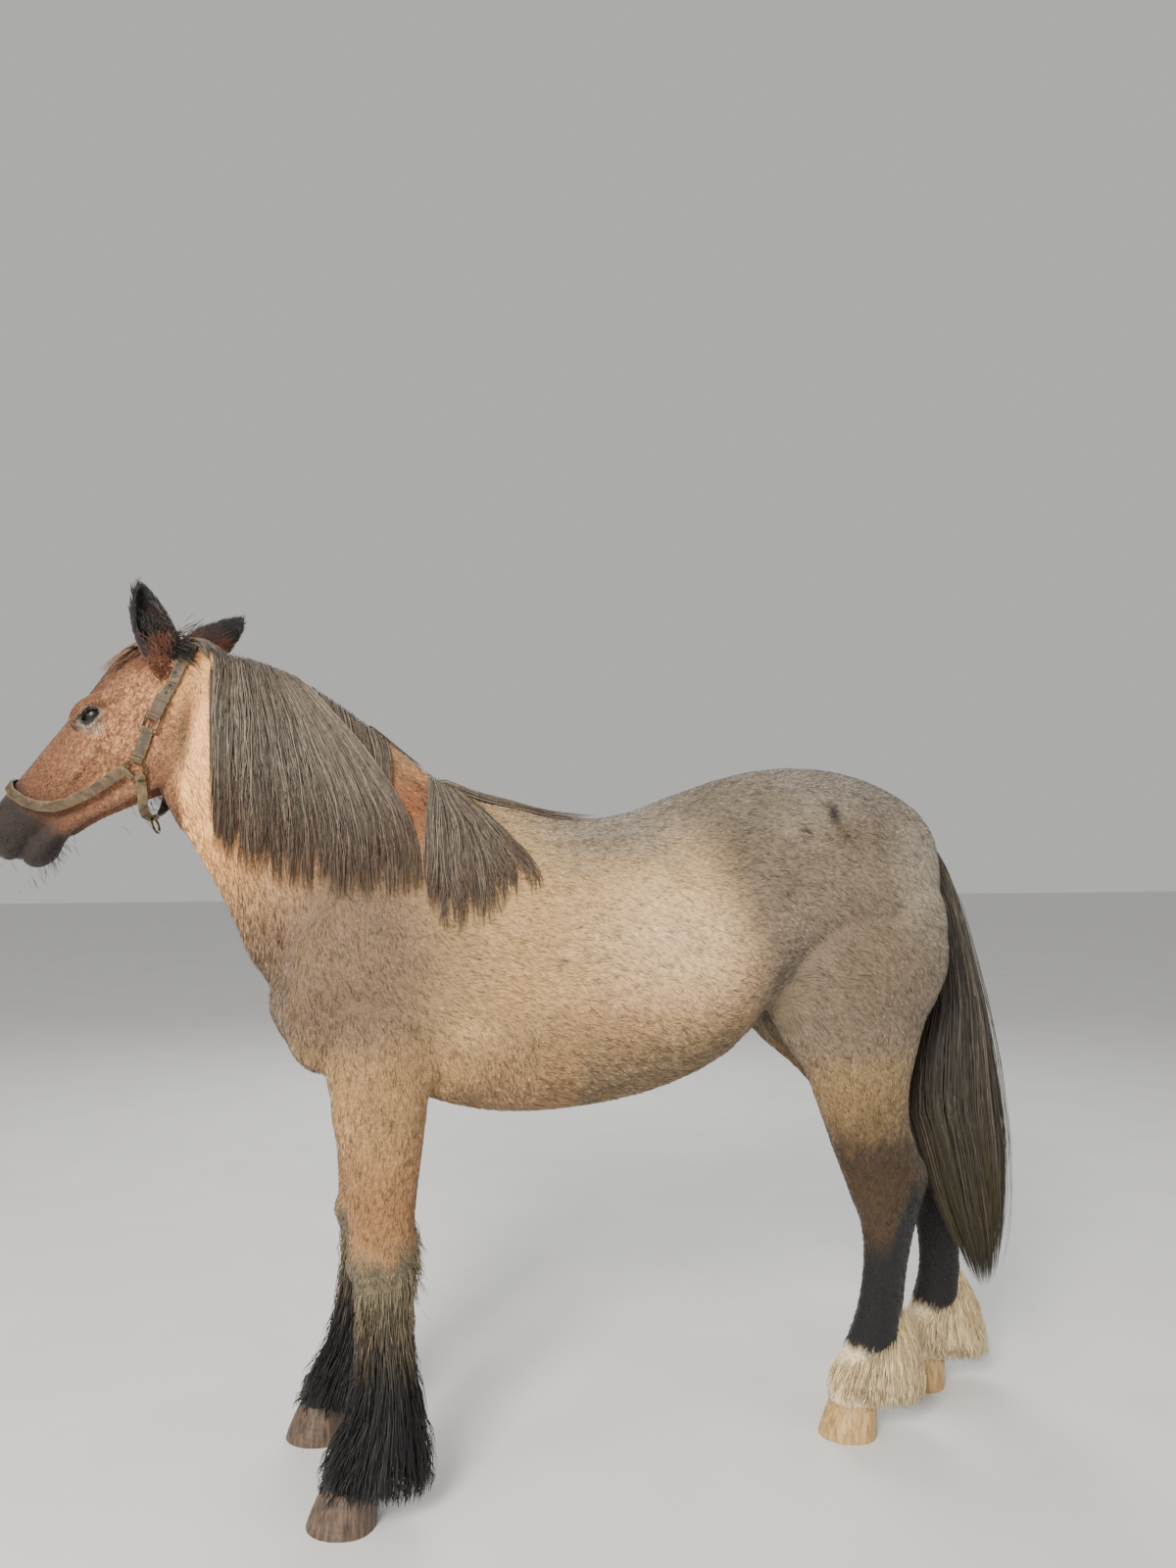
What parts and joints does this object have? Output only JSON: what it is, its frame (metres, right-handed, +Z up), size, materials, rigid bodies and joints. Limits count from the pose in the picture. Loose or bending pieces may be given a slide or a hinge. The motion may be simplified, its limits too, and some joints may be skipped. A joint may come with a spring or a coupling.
{
  "type": "belgian draft horse",
  "caption": "A young Belgian draft horse standing still at life size, in a leather head collar, with a mane, a full tail and feathered legs.",
  "frame": {"origin": "middle of the floor below the horse's bounding box", "axes": "+X towards the tail, the nose points to -X; +Y towards the horse's right side; +Z up"},
  "size_m": [2.4954, 0.7018, 2.0015],
  "materials": {
    "body_coat": "short dense roan coat, matte with a faint sheen",
    "head_coat": "short red-brown coat with pale flecks, dark towards the muzzle",
    "ear_coat": "short coat, black inside the cup and at the tip",
    "forearm_coat": "short red-tan coat",
    "fore_feather": "long black leg hair with grey strands",
    "hind_feather": "long cream leg hair over a black cannon",
    "tail_hair": "long dark hair with brown ends",
    "eye": "wet and dark",
    "fore_horn": "dark brown horn, ringed and dry",
    "hind_horn": "pale tan horn, ringed and dry",
    "collar_leather": "weathered brown leather, worn pale at the edges",
    "fittings": "dull, tarnished metal"
  },
  "bodies": {
    "root": {"torso": "body_coat", "neck": "body_coat", "head": "head_coat", "left_ear": "ear_coat", "right_ear": "ear_coat", "left_eye": "eye", "right_eye": "eye", "tail": "tail_hair", "left_forearm": "forearm_coat", "left_fore_shank": "fore_feather", "left_fore_hoof": "fore_horn", "left_gaskin": "body_coat", "left_hind_shank": "hind_feather", "left_hind_hoof": "hind_horn", "right_forearm": "forearm_coat", "right_fore_shank": "fore_feather", "right_fore_hoof": "fore_horn", "right_gaskin": "body_coat", "right_hind_shank": "hind_feather", "right_hind_hoof": "hind_horn", "crown_strap": "collar_leather", "left_cheek_strap": "collar_leather", "cheek_buckle": "fittings", "strap_keeper": "collar_leather", "left_cheek_ring": "fittings", "right_cheek_ring": "fittings", "nose_band": "collar_leather", "jaw_strap": "collar_leather", "lead_ring": "fittings"}
  },
  "joints": []
}
